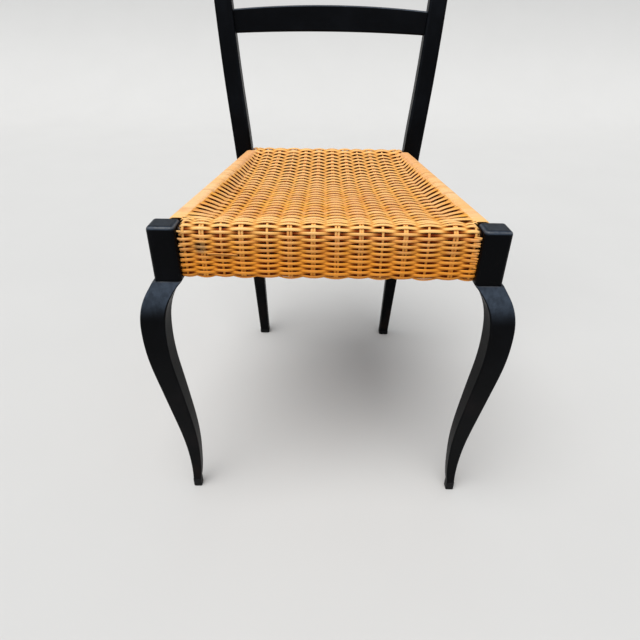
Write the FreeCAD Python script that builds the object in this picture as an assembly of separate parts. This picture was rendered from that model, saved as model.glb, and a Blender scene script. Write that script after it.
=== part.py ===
import FreeCAD, Part
import os

# High back chair: black wooden frame with cabriole front legs, flared ladder back and woven cane seat.
# Millimetres. Left and right are those of someone who stands in front of the chair and faces it:
# +X is to their right, +Y runs to the back of the chair and +Z is up. The pieces are built with the front
# faces of the leg blocks at Y = 0. The finished chair is then moved so that its origin is the bottom
# centre of its box.

# Frame, main sizes
seat_height = 445.0
overall_height = 1115.0
front_width = 433.0
seat_depth = 418.0

# Front legs
block_side = 34.0
block_height = 71.0
# How far the blocks stand over the front edge of the seat
block_rise = 2.5
block_ease = 5.5
block_top_ease = 5.0
knee_bulge = 20.0
knee_step = 2.0
ankle_side = 12.0
leg_ease = 2.0
# Each row: height above the glide line, outward offset of the outer faces, side of the section
leg_shape_shares = (
    (0.00, -0.18, 0.00),
    (0.12, -0.20, 0.20),
    (0.23, -0.08, 0.37),
    (0.34, 0.14, 0.52),
    (0.45, 0.40, 0.63),
    (0.59, 0.73, 0.74),
    (0.70, 0.96, 0.81),
    (0.81, 1.04, 0.87),
    (0.89, 0.94, 0.91),
    (0.95, 0.62, 0.95),
)

# Rear posts, one bent piece each from the floor to the top of the back
post_foot_width = 20.5
post_foot_depth = 20.0
post_seat_width = 32.0
post_seat_depth = 30.0
post_top_width = 27.0
post_top_depth = 20.0
post_foot_spacing = 294.0
post_seat_spacing = 320.0
post_top_spacing = 404.0
post_foot_setback = 59.0
post_top_lean = 108.0
post_ease = 4.0
post_top_ease = 2.5
# Heights of the sections, below the seat as shares of it and above as shares of the back
post_lower_shares = (0.08, 0.20, 0.34, 0.48, 0.62, 0.75, 0.86)
post_upper_shares = (0.045, 0.14, 0.28, 0.44, 0.60, 0.76, 0.89)
# Part of the lean that grows evenly with height, the rest grows with its square
lean_even_share = 0.75

# Foot glides
front_glide_side = 12.8
front_glide_height = 15.0
rear_glide_height = 9.0
glide_wall = 1.6
glide_floor = 3.0
glide_ease = 1.5

# Seat rails, their tops measured from the height of the seat
rail_inset = 16.7
side_rail_taper = 44.6
side_rail_width = 16.0
side_rail_height = 38.0
side_rail_rise = 2.0
side_rail_ease = 5.0
front_rail_thickness = 18.0
front_rail_drop = 2.0
front_rail_height = 60.0
front_rail_ease = 9.0
rear_rail_thickness = 14.0
rear_rail_height = 36.0
rear_rail_drop = 1.0
rear_rail_ease = 5.0
rear_rail_setback = 11.5

# Joints
tenon_thickness = 8.0
tenon_height = 26.0
side_tenon_thickness = 6.0
side_tenon_length = 11.0
cross_tenon_length = 17.0
joint_clearance = 0.2
# How far the side rails and their wraps are scribed round the rounded front corners of the posts
post_scribe = 1.0
cut_overrun = 2.0

# Ladder back, its lowest slat placed from the seat and its crest from the top of the posts
slat_count = 6
slat_thickness = 10.0
slat_height = 36.0
crest_height = 50.0
slat_arch = 9.0
crest_arch = 17.0
slat_hollow = 20.0
slat_tenon = 11.0
slat_ease = 2.5
lowest_slat_rise = 195.0
crest_base_drop = 75.0

# Woven seat
apron_recess = 8.0
weave_thickness = 5.0
weave_gap = 0.3
wrap_thickness = 2.0
apron_return = 13.0
field_edge_drop = 5.0
field_sag = 19.0
# How far the face of the weave falls between two stakes
field_relief = 2.0
# Each row: place between the front and the back edge of the field, then how far its middle and its outer
# stakes lie below the top of the side wraps, both as shares of the sag
field_shares = (
    (0.00, 0.10, 0.12),
    (0.10, 0.26, 0.40),
    (0.25, 0.55, 0.58),
    (0.42, 0.86, 0.68),
    (0.60, 1.00, 0.72),
    (0.76, 0.84, 0.66),
    (0.90, 0.46, 0.46),
    (1.00, 0.16, 0.28),
)

# Stakes of the seat and the tacks that hold them
stake_count = 12
front_stake_pitch = 27.6
rear_stake_pitch = 24.0
tack_head = 5.0
tack_head_height = 1.0
tack_shank = 1.6
tack_length = 11.0
tack_inset = 6.0

half_front = front_width / 2
block_inner = half_front - block_side
block_top = seat_height + block_rise
block_foot = block_top - block_height
rail_outer_front = half_front - rail_inset
side_rail_top = seat_height + side_rail_rise
front_rail_top = seat_height - front_rail_drop
rear_rail_top = seat_height - rear_rail_drop
wrap_top = side_rail_top + wrap_thickness
# The side rails close in by their taper over the depth of the seat
side_slope = side_rail_taper / seat_depth


def vec(x, y, z):
    return FreeCAD.Vector(x, y, z)


def mirrored(shape):
    """The same piece for the other side of the chair."""
    return shape.mirror(vec(0, 0, 0), vec(1, 0, 0))


def box(x_low, x_high, y_low, y_high, z_low, z_high):
    return Part.makeBox(x_high - x_low, y_high - y_low, z_high - z_low, vec(x_low, y_low, z_low))


def blend(start, end, share):
    return start + (end - start) * share


def eased_outline(low_a, high_a, low_b, high_b, eases, place):
    """Closed wire of a rectangle in two axes, each corner rounded by its own radius.

    The corners run low-low, high-low, high-high, low-high, and place turns a pair into a point.
    """
    corners = ((low_a, low_b), (high_a, low_b), (high_a, high_b), (low_a, high_b))
    directions = ((1, 0), (0, 1), (-1, 0), (0, -1))
    bevel = 1 - 2 ** 0.5 / 2
    edges = []
    starts = []
    ends = []
    for index, (a, b) in enumerate(corners):
        ease = eases[index]
        into = directions[index - 1]
        away = directions[index]
        first = place(a - into[0] * ease, b - into[1] * ease)
        last = place(a + away[0] * ease, b + away[1] * ease)
        middle = place(a + (away[0] - into[0]) * ease * bevel, b + (away[1] - into[1]) * ease * bevel)
        starts.append(first)
        ends.append(last)
        edges.append(Part.Arc(first, middle, last).toShape())
    for index in range(len(corners)):
        edges.append(Part.LineSegment(ends[index - 1], starts[index]).toShape())
    return Part.Wire(Part.__sortEdges__(edges))


def level_section(x_low, x_high, y_low, y_high, z, ease):
    return eased_outline(x_low, x_high, y_low, y_high, (ease,) * 4, lambda a, b: vec(a, b, z))


def loft(wires, ruled=False):
    return Part.makeLoft(wires, True, ruled)


def edges_rounded_at(block, height, ease):
    """The shape with every edge that lies at the given height rounded."""
    near = ease / 4
    edges = [e for e in block.Edges
             if abs(e.BoundBox.ZMin - height) < near and abs(e.BoundBox.ZMax - height) < near]
    return block.makeFillet(ease, edges)


# Front legs


def leg_section(height, offset, side, ease):
    """Square section of the right leg, its outer faces pushed out by the offset."""
    x_high = half_front + offset
    y_low = -offset
    return level_section(x_high - side, x_high, y_low, y_low + side, height, ease)


def front_foot_centre():
    offset = leg_shape_shares[0][1] * knee_bulge
    return half_front + offset - ankle_side / 2, -offset + ankle_side / 2


def front_leg():
    span = block_foot - front_glide_height
    wires = []
    for height_share, offset_share, side_share in leg_shape_shares:
        side = blend(ankle_side, block_side, side_share)
        height = front_glide_height + span * height_share
        wires.append(leg_section(height, offset_share * knee_bulge, side, leg_ease))
    wires.append(leg_section(block_foot, knee_step, block_side + knee_step, leg_ease))
    leg = loft(wires)
    block = loft([level_section(block_inner, half_front, 0, block_side, z, block_ease)
                  for z in (block_foot, block_top)])
    block = edges_rounded_at(block, block_top, block_top_ease)
    centre_x, centre_y = front_foot_centre()
    tip = glide_socket(centre_x, centre_y, ankle_side, ankle_side, front_glide_height, joint_clearance)
    leg = leg.fuse([block, tip]).removeSplitter()
    for mortise in (side_tenon(joint_clearance, at_front=True), front_tenon(joint_clearance)):
        leg = leg.cut(mortise)
    return leg


# Foot glides


def glide_socket(centre_x, centre_y, width, depth, height, shrink):
    """The tip of a leg inside its glide."""
    half_x = width / 2 - glide_wall / 2 - shrink
    half_y = depth / 2 - glide_wall / 2 - shrink
    return box(centre_x - half_x, centre_x + half_x, centre_y - half_y, centre_y + half_y,
               glide_floor + shrink, height)


def glide(centre_x, centre_y, leg_width, leg_depth, height, ease):
    """Cup under a leg, a little wider than the leg, with rounded lower edges."""
    collar = (front_glide_side - ankle_side) / 2
    half_x = leg_width / 2 + collar
    half_y = leg_depth / 2 + collar
    sections = [level_section(centre_x - half_x, centre_x + half_x, centre_y - half_y, centre_y + half_y,
                              z, ease) for z in (0, height)]
    cup = edges_rounded_at(loft(sections, ruled=True), 0, glide_ease)
    return cup.cut(glide_socket(centre_x, centre_y, leg_width, leg_depth, height + cut_overrun, 0))


def front_glide():
    centre_x, centre_y = front_foot_centre()
    return glide(centre_x, centre_y, ankle_side, ankle_side, front_glide_height, leg_ease)


def rear_glide():
    centre_x, front_y, width, depth = post_at(rear_glide_height)
    return glide(centre_x, front_y + depth / 2, width, depth, rear_glide_height, post_ease)


# Rear posts


def post_at(height):
    """Centre in X, front face in Y, width and depth of the right post at a height."""
    if height <= seat_height:
        share = height / seat_height
        centre = blend(post_foot_spacing, post_seat_spacing, share) / 2
        front = seat_depth + post_foot_setback * (1 - share)
        width = blend(post_foot_width, post_seat_width, share)
        depth = blend(post_foot_depth, post_seat_depth, share)
        return centre, front, width, depth
    share = (height - seat_height) / (overall_height - seat_height)
    splay = 1 - (1 - share) ** 2
    lean = lean_even_share * share + (1 - lean_even_share) * share ** 2
    centre = blend(post_seat_spacing, post_top_spacing, splay) / 2
    front = seat_depth + post_top_lean * lean
    width = blend(post_seat_width, post_top_width, share)
    depth = blend(post_seat_depth, post_top_depth, share)
    return centre, front, width, depth


def post_section(height):
    centre, front, width, depth = post_at(height)
    return level_section(centre - width / 2, centre + width / 2, front, front + depth, height, post_ease)


def post_blank():
    back = overall_height - seat_height
    heights = [rear_glide_height]
    heights += [seat_height * share for share in post_lower_shares]
    heights += [seat_height + back * share for share in post_upper_shares]
    heights.append(overall_height)
    post = loft([post_section(height) for height in heights])
    return edges_rounded_at(post, overall_height, post_top_ease)


def rear_post(blank, slat_mortises):
    centre_x, front_y, width, depth = post_at(rear_glide_height)
    tip = glide_socket(centre_x, front_y + depth / 2, width, depth, rear_glide_height, joint_clearance)
    post = blank.fuse(tip).removeSplitter()
    cutters = [side_tenon(joint_clearance, at_front=False), rear_tenon(joint_clearance)]
    return post.cut(cutters + slat_mortises)


# Seat rails


def side_section(y, grow, ease):
    """Upright section of the right side rail at a place along Y, grown on all sides."""
    x_high = rail_outer_front - side_slope * y + grow
    x_low = x_high - side_rail_width - 2 * grow
    z_high = side_rail_top + grow
    z_low = side_rail_top - side_rail_height - grow
    eases = (ease / 2, ease / 2, ease, ease)
    return eased_outline(x_low, x_high, z_low, z_high, eases, lambda a, b: vec(a, y, b))


def behind_post_front():
    """Everything behind the sloping front faces of the posts, to trim what ends against them."""
    z_low = side_rail_top - side_rail_height - wrap_thickness - cut_overrun
    z_high = wrap_top + cut_overrun
    reach = seat_depth + post_seat_depth + post_foot_setback
    low_y = post_at(z_low)[1] + post_scribe
    high_y = post_at(z_high)[1] + post_scribe
    points = [vec(0, low_y, z_low), vec(0, reach, z_low), vec(0, reach, z_high), vec(0, high_y, z_high)]
    face = Part.Face(Part.makePolygon(points + points[:1]))
    return face.extrude(vec(half_front, 0, 0))


def side_run(post, grow, ease, y_start):
    """Solid along the right side rail from a place at the front to the post that it ends against."""
    y_end = seat_depth + post_foot_setback / 2
    solid = loft([side_section(y, grow, ease) for y in (y_start, y_end)], ruled=True)
    return solid.cut([behind_post_front(), post])


def side_tenon(grow, at_front):
    """Tenon of the right side rail into the leg block or into the post, grown to cut its mortise."""
    if at_front:
        y_low = block_side - side_tenon_length - grow
        y_high = block_side + grow
    else:
        y_low = seat_depth - grow
        y_high = seat_depth + side_tenon_length + grow
    outer = rail_outer_front - side_slope * y_high
    z_middle = side_rail_top - side_rail_height / 2
    half_height = tenon_height / 2 + grow
    return box(outer - side_tenon_thickness - grow, outer + grow, y_low, y_high,
               z_middle - half_height, z_middle + half_height)


def side_rail(post):
    rail = side_run(post, 0, side_rail_ease, block_side)
    return rail.fuse([side_tenon(0, at_front=True), side_tenon(0, at_front=False)]).removeSplitter()


def front_rail_section(grow_front, grow_back, grow_top, grow_low, x):
    y_low = apron_recess + weave_thickness - grow_front
    y_high = apron_recess + weave_thickness + front_rail_thickness + grow_back
    z_low = front_rail_top - front_rail_height - grow_low
    z_high = front_rail_top + grow_top
    fine = wrap_thickness / 2
    return eased_outline(y_low, y_high, z_low, z_high,
                         (fine, fine, fine, front_rail_ease + grow_front), lambda a, b: vec(x, a, b))


def front_tenon(grow):
    """Bare faced tenon of the front rail into the right leg block."""
    y_low = apron_recess + weave_thickness - grow
    z_middle = front_rail_top - front_rail_height / 2
    half_height = tenon_height / 2 + grow
    return box(block_inner - grow, block_inner + cross_tenon_length + grow,
               y_low, y_low + tenon_thickness + 2 * grow, z_middle - half_height, z_middle + half_height)


def front_rail():
    sections = [front_rail_section(0, 0, 0, 0, x) for x in (-block_inner, block_inner)]
    tenon = front_tenon(0)
    return loft(sections, ruled=True).fuse([tenon, mirrored(tenon)]).removeSplitter()


def rear_rail_section(grow, x):
    y_low = seat_depth + rear_rail_setback - grow
    y_high = y_low + rear_rail_thickness + 2 * grow
    z_low = rear_rail_top - rear_rail_height - grow
    z_high = rear_rail_top + grow
    ease = rear_rail_ease + grow
    return eased_outline(y_low, y_high, z_low, z_high, (ease / 2, ease / 2, ease, ease),
                         lambda a, b: vec(x, a, b))


def rear_tenon(grow):
    y_middle = seat_depth + rear_rail_setback + rear_rail_thickness / 2
    inner = post_at(rear_rail_top)[0] - post_seat_width / 2
    z_middle = rear_rail_top - rear_rail_height / 2
    half = tenon_thickness / 2 + grow
    half_height = tenon_height / 2 + grow
    return box(inner - cross_tenon_length, inner + cross_tenon_length + grow,
               y_middle - half, y_middle + half, z_middle - half_height, z_middle + half_height)


def rear_run(post, grow):
    """Solid along the rear rail between the inner faces of the posts."""
    reach = post_seat_spacing / 2
    run = loft([rear_rail_section(grow, x) for x in (-reach, reach)], ruled=True)
    return run.cut([post, mirrored(post)])


def rear_rail(post):
    tenon = rear_tenon(0)
    return rear_run(post, 0).fuse([tenon, mirrored(tenon)]).removeSplitter()


# Ladder back


def slat_base(index):
    lowest = seat_height + lowest_slat_rise
    highest = overall_height - crest_base_drop
    return blend(lowest, highest, index / (slat_count - 1))


def slat_prism(half_span, base, height, arch, grow):
    """Outline of a slat seen from the front, its upper and lower edges arched, as a deep prism."""
    reach = seat_depth * 2
    rise = arch / 2
    low = base - grow
    high = base + height + grow
    left_low = vec(-half_span, 0, low)
    right_low = vec(half_span, 0, low)
    left_high = vec(-half_span, 0, high)
    right_high = vec(half_span, 0, high)
    edges = [
        Part.Arc(left_low, vec(0, 0, low + rise), right_low).toShape(),
        Part.LineSegment(right_low, right_high).toShape(),
        Part.Arc(right_high, vec(0, 0, high + arch), left_high).toShape(),
        Part.LineSegment(left_high, left_low).toShape(),
    ]
    return Part.Face(Part.Wire(edges)).extrude(vec(0, reach, 0))


def slat(index, grow=0):
    """A slat bowed to the back, leaning with the posts and let into them at both ends."""
    is_crest = index == slat_count - 1
    height = crest_height if is_crest else slat_height
    arch = crest_arch if is_crest else slat_arch
    base = slat_base(index)
    low_z = base - arch
    high_z = base + height + 2 * arch
    middle_z = base + height / 2
    centre, front, width, depth = post_at(middle_z)
    half_span = centre - width / 2 + slat_tenon + grow
    low_front = post_at(low_z)[1] + post_at(low_z)[3] / 2
    high_front = post_at(high_z)[1] + post_at(high_z)[3] / 2
    half = slat_thickness / 2 + grow

    def bow(offset):
        return Part.Arc(vec(-half_span, low_front + offset, low_z),
                        vec(0, low_front + slat_hollow + offset, low_z),
                        vec(half_span, low_front + offset, low_z)).toShape()

    front_edge = bow(-half)
    back_edge = bow(half)
    ends = [Part.LineSegment(vec(side * half_span, low_front - half, low_z),
                             vec(side * half_span, low_front + half, low_z)).toShape()
            for side in (-1, 1)]
    strip = Part.Face(Part.Wire(Part.__sortEdges__([front_edge, back_edge] + ends)))
    strip = strip.extrude(vec(0, high_front - low_front, high_z - low_z))
    board = strip.common(slat_prism(half_span, base, height, arch, grow))
    if grow:
        return board
    long_edges = [e for e in board.Edges if e.BoundBox.XLength > half_span]
    return board.makeFillet(slat_ease, long_edges)


# Woven seat


def side_wrap(post):
    outer = side_run(post, wrap_thickness, side_rail_ease + wrap_thickness, block_side + weave_gap)
    inner = loft([side_section(y, joint_clearance, side_rail_ease) for y in (0, seat_depth * 2)],
                 ruled=True)
    return outer.cut(inner)


def rear_wrap(post):
    shell = rear_run(post, weave_thickness)
    reach = post_seat_spacing
    core = loft([rear_rail_section(joint_clearance, x) for x in (-reach, reach)], ruled=True)
    return shell.cut(core)


def apron():
    """The weave over the front rail: front, top, underside and a short return behind the rail."""
    half = block_inner - weave_gap
    back = apron_recess + weave_thickness + front_rail_thickness
    shell = loft([front_rail_section(weave_thickness, wrap_thickness, weave_thickness, weave_thickness, x)
                  for x in (-half, half)], ruled=True)
    core = loft([front_rail_section(joint_clearance, joint_clearance, joint_clearance, joint_clearance, x)
                 for x in (-front_width, front_width)], ruled=True)
    window = box(-front_width, front_width, back + joint_clearance, back + front_width,
                 front_rail_top - front_rail_height + apron_return, front_rail_top)
    return shell.cut([core, window])


def stake_places(pitch):
    return [(index - (stake_count - 1) / 2) * pitch for index in range(stake_count)]


def field_section(place_share, middle_share, side_share):
    """Section of the woven field: sides that slope down from the wraps to the outer stakes, and between
    them a shallow bowl whose face stands highest over each stake."""
    y_front = apron_recess + weave_thickness + front_rail_thickness + wrap_thickness + weave_gap
    y_back = seat_depth + rear_rail_setback - weave_thickness - weave_gap
    y = blend(y_front, y_back, place_share)
    half = rail_outer_front - side_slope * y - side_rail_width - wrap_thickness - weave_gap
    edge_z = wrap_top - field_edge_drop
    side_z = wrap_top - field_sag * side_share
    middle_z = wrap_top - field_sag * middle_share - joint_clearance
    stakes = stake_places(blend(front_stake_pitch, rear_stake_pitch, place_share))
    reach = stakes[-1]

    def on_bowl(x, drop):
        return vec(x, y, blend(middle_z, side_z, (x / reach) ** 2) - drop)

    ridges = [on_bowl(x, 0) for x in stakes]
    valleys = [on_bowl((left + right) / 2, field_relief) for left, right in zip(stakes, stakes[1:])]
    top = [vec(-half, y, edge_z), ridges[0], valleys[0]]
    top_end = [valleys[-1], ridges[-1], vec(half, y, edge_z)]
    low_left = vec(-half, y, edge_z - weave_thickness)
    low_right = vec(half, y, edge_z - weave_thickness)
    low_stakes = [on_bowl(x, weave_thickness) for x in (-reach, 0, reach)]
    edges = [Part.LineSegment(start, end).toShape() for start, end in zip(top, top[1:])]
    edges += [Part.Arc(start, ridge, end).toShape()
              for start, ridge, end in zip(valleys, ridges[1:], valleys[1:])]
    edges += [Part.LineSegment(start, end).toShape() for start, end in zip(top_end, top_end[1:])]
    edges += [Part.LineSegment(top_end[-1], low_right).toShape(),
              Part.LineSegment(low_right, low_stakes[-1]).toShape(),
              Part.Arc(*reversed(low_stakes)).toShape(),
              Part.LineSegment(low_stakes[0], low_left).toShape(),
              Part.LineSegment(low_left, top[0]).toShape()]
    return Part.Wire(edges)


def seat_field():
    return loft([field_section(*row) for row in field_shares])


# Tacks


def tack(x, head_y, z, toward):
    """A tack along Y: toward is 1 where its point looks to the back and -1 where it looks forward."""
    axis = vec(0, toward, 0)
    seat = vec(x, head_y, z)
    head = Part.makeCylinder(tack_head / 2, tack_head_height, seat - axis * tack_head_height, axis)
    shank = Part.makeCylinder(tack_shank / 2, tack_length, seat, axis)
    return head.fuse(shank).removeSplitter()


def tack_rows(grow=0):
    """Tacks behind the front rail and in front of the rear rail, or the holes for them."""
    rows = []
    front_head = apron_recess + weave_thickness + front_rail_thickness + wrap_thickness
    rear_head = seat_depth + rear_rail_setback - weave_thickness
    front_z = front_rail_top - front_rail_height + tack_inset
    rear_z = rear_rail_top - rear_rail_height + tack_inset
    rows += [(x, front_head, front_z, -1) for x in stake_places(front_stake_pitch)]
    rows += [(x, rear_head, rear_z, 1) for x in stake_places(rear_stake_pitch)]
    if not grow:
        return [tack(*row) for row in rows]
    return [Part.makeCylinder(tack_shank / 2 + grow, tack_length + grow, vec(x, y, z), vec(0, toward, 0))
            for x, y, z, toward in rows]


def build():
    blank = post_blank()
    slats = [slat(index) for index in range(slat_count)]
    slat_mortises = [slat(index, joint_clearance) for index in range(slat_count)]
    holes = tack_rows(joint_clearance / 4)
    right_post = rear_post(blank, slat_mortises)
    right_leg = front_leg()
    right_rail = side_rail(blank)
    right_wrap = side_wrap(blank)
    pieces = {
        "right_front_leg": right_leg,
        "left_front_leg": mirrored(right_leg),
        "right_rear_post": right_post,
        "left_rear_post": mirrored(right_post),
        "front_seat_rail": front_rail().cut(holes),
        "rear_seat_rail": rear_rail(blank).cut(holes),
        "right_seat_rail": right_rail,
        "left_seat_rail": mirrored(right_rail),
        "woven_seat_field": seat_field(),
        "woven_front_apron": apron().cut(holes),
        "rear_rail_wrap": rear_wrap(blank).cut(holes),
        "right_rail_wrap": right_wrap,
        "left_rail_wrap": mirrored(right_wrap),
        "right_front_glide": front_glide(),
        "left_front_glide": mirrored(front_glide()),
        "right_rear_glide": rear_glide(),
        "left_rear_glide": mirrored(rear_glide()),
        "cane_tacks": Part.makeCompound(tack_rows()),
    }
    for index, board in enumerate(slats):
        name = "crest_slat" if index == slat_count - 1 else "back_slat_%d" % (index + 1)
        pieces[name] = board
    return pieces


def main():
    os.makedirs("parts", exist_ok=True)
    pieces = build()
    bounds = Part.makeCompound(list(pieces.values())).optimalBoundingBox(False)
    shift = vec(0, -(bounds.YMin + bounds.YMax) / 2, 0)
    for name, shape in pieces.items():
        shape.translate(shift)
        shape.exportStep("parts/%s.step" % name)
        print(name, "valid" if shape.isValid() else "BROKEN", len(shape.Solids), "solids",
              "%.0f mm3" % shape.Volume)
    print("box", bounds.XLength, bounds.YLength, bounds.ZLength, "shift", shift.y)


main()
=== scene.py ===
"""High back chair with cabriole front legs, ladder back and woven cane seat.

The wooden frame, the foot glides and the tacks keep their CAD shapes and get their finishes here. The cane
seat is woven strand by strand over the rails: stakes run from front to back, and weavers cross them.

Sizes are in millimetres, with Y counted from the front faces of the leg blocks, and become metres in the
frame of the model when a mesh is made.
"""

from __future__ import annotations

import logging
import math
from dataclasses import dataclass, field
from enum import Enum

import bpy
import numpy as np
from mathutils import Matrix, Vector

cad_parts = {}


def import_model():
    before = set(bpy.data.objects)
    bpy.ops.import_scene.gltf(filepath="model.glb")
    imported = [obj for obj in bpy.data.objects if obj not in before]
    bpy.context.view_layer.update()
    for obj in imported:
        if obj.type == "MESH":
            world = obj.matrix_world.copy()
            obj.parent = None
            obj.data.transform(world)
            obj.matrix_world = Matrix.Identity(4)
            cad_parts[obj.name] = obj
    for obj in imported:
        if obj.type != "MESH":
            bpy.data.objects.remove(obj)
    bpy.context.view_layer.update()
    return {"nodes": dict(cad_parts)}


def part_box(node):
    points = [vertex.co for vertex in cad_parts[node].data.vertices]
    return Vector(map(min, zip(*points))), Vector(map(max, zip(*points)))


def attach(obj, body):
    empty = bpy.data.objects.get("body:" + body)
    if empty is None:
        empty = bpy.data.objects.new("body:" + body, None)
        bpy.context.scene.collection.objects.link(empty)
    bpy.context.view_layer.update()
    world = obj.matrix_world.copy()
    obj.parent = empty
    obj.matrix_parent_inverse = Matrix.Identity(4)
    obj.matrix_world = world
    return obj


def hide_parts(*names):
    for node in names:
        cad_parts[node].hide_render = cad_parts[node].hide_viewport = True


LOG = logging.getLogger("high_back_chair")
MM = 0.001

Pair = tuple[float, float]
Triple = tuple[float, float, float]
Colour = tuple[float, float, float]
Rail = tuple[float, float, float, float]

ACROSS = np.array([1.0, 0.0, 0.0])
BACK = np.array([0.0, 1.0, 0.0])
UP = np.array([0.0, 0.0, 1.0])
MIRRORED = np.array([-1.0, 1.0, 1.0])


def linked(name: str, data: bpy.types.ID) -> bpy.types.Object:
    """A new object of the mesh, light or camera, linked to the scene.

    Args:
        name: Name of the object.
        data: What it shows.

    Returns:
        The object.
    """
    piece = bpy.data.objects.new(name, data)
    bpy.context.scene.collection.objects.link(piece)
    return piece


# Shader tools


class Shade:
    """A socket of a material that takes part in arithmetic, so that value maths reads as an expression."""

    def __init__(self, book: "NodeBook", socket: bpy.types.NodeSocket | None) -> None:
        """Keeps the book that owns the nodes and the socket that the value comes from."""
        self.book = book
        self.socket = socket

    def _math(self, operation: str, *terms: "Shade | float") -> "Shade":
        """The shade of a Math node that does the named operation on the terms."""
        return self.book.add("ShaderNodeMath", {"operation": operation}, dict(enumerate(terms)))

    def __add__(self, other: "Shade | float") -> "Shade":
        """This plus the other."""
        return self._math("ADD", self, other)

    def __radd__(self, other: float) -> "Shade":
        """The other plus this."""
        return self._math("ADD", other, self)

    def __sub__(self, other: "Shade | float") -> "Shade":
        """This less the other."""
        return self._math("SUBTRACT", self, other)

    def __rsub__(self, other: float) -> "Shade":
        """The other less this."""
        return self._math("SUBTRACT", other, self)

    def __mul__(self, other: "Shade | float") -> "Shade":
        """This times the other."""
        return self._math("MULTIPLY", self, other)

    def __rmul__(self, other: float) -> "Shade":
        """The other times this."""
        return self._math("MULTIPLY", other, self)

    def between(self, low: float, high: float) -> "Shade":
        """A soft step from 0 at the low value to 1 at the high one."""
        sockets = {"Value": self, "From Min": low, "From Max": high}
        return self.book.add("ShaderNodeMapRange", {"interpolation_type": "SMOOTHSTEP"}, sockets)

    def within(self, low: Pair, high: Pair) -> "Shade":
        """A soft band that rises from 0 to 1 over the low pair of values and falls back over the high one."""
        return self.between(*low) * (1.0 - self.between(*high))


class NodeBook:
    """The nodes of one material."""

    def __init__(self, name: str) -> None:
        """Starts an empty node material.

        Args:
            name: Name of the material.
        """
        self.material = bpy.data.materials.new(name)
        self.material.use_nodes = True
        self.tree = self.material.node_tree
        self.tree.nodes.clear()

    def add(self, kind: str, settings: dict | None = None, sockets: dict | None = None,
            out: int | str = 0) -> Shade:
        """Adds a node, sets it up and joins it.

        Args:
            kind: Type of the node.
            settings: Its own settings, set before its sockets.
            sockets: Values or shades by the name or the place of its inputs.
            out: Name or place of the output that is wanted.

        Returns:
            The shade of that output.
        """
        node = self.tree.nodes.new(kind)
        for key, value in (settings or {}).items():
            setattr(node, key, value)
        for key, value in (sockets or {}).items():
            if isinstance(value, Shade):
                self.tree.links.new(value.socket, node.inputs[key])
            else:
                node.inputs[key].default_value = value
        return Shade(self, node.outputs[out] if node.outputs else None)

    def place(self) -> Shade:
        """The point on the surface, in the frame of the model."""
        return self.add("ShaderNodeTexCoord", out="Object")

    def part_of(self, vector: Shade, axis: str) -> Shade:
        """One of the three parts of a vector, named X, Y or Z."""
        return self.add("ShaderNodeSeparateXYZ", sockets={0: vector}, out=axis)

    def vector_math(self, operation: str, first: Shade, second: "Shade | Triple",
                    out: str = "Vector") -> Shade:
        """The vector that a Vector Math node makes of two vectors, or its value if that is asked for."""
        return self.add("ShaderNodeVectorMath", {"operation": operation}, {0: first, 1: second}, out)

    def stretched(self, vector: Shade, scale: Triple) -> Shade:
        """A vector with each of its parts scaled."""
        return self.vector_math("MULTIPLY", vector, scale)

    def noise(self, vector: Shade, scale: float, detail: float = 3.0, roughness: float = 0.5) -> Shade:
        """Even noise between 0 and 1, of a fineness, a number of finer layers and their strength."""
        sockets = {"Vector": vector, "Scale": scale, "Detail": detail, "Roughness": roughness}
        return self.add("ShaderNodeTexNoise", sockets=sockets)

    def blended(self, share: Shade | float, low: "Shade | Colour", high: "Shade | Colour",
                blend_type: str = "MIX") -> Shade:
        """Two colours mixed.

        Args:
            share: How much of the second colour there is.
            low: First colour.
            high: Second colour.
            blend_type: How the second goes over the first.

        Returns:
            The shade of the mixed colour.
        """
        low, high = (value if isinstance(value, Shade) else (*value, 1.0) for value in (low, high))
        settings = {"data_type": "RGBA", "blend_type": blend_type}
        return self.add("ShaderNodeMix", settings, {0: share, 6: low, 7: high}, out=2)

    def bumped(self, height: Shade, depth: float, strength: float = 1.0) -> Shade:
        """The surface normal raised by a height of 0 to 1, which is worth a real depth in metres."""
        sockets = {"Height": height, "Distance": depth, "Strength": strength}
        return self.add("ShaderNodeBump", sockets=sockets)

    def surfaced(self, sockets: dict) -> bpy.types.Material:
        """Closes the material with one shader.

        Args:
            sockets: Values or shades of the Principled shader's inputs.

        Returns:
            The finished material.
        """
        shader = self.add("ShaderNodeBsdfPrincipled", sockets=sockets)
        self.add("ShaderNodeOutputMaterial", sockets={"Surface": shader})
        return self.material


# Finishes


class Grain(Enum):
    """The way that the wood grain of a piece runs, as the scale of the noise along X, Y and Z."""

    UPRIGHT = (1.0, 1.0, 0.04)
    ACROSS = (0.04, 1.0, 1.0)
    FRONT_TO_BACK = (1.0, 0.04, 1.0)


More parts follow.
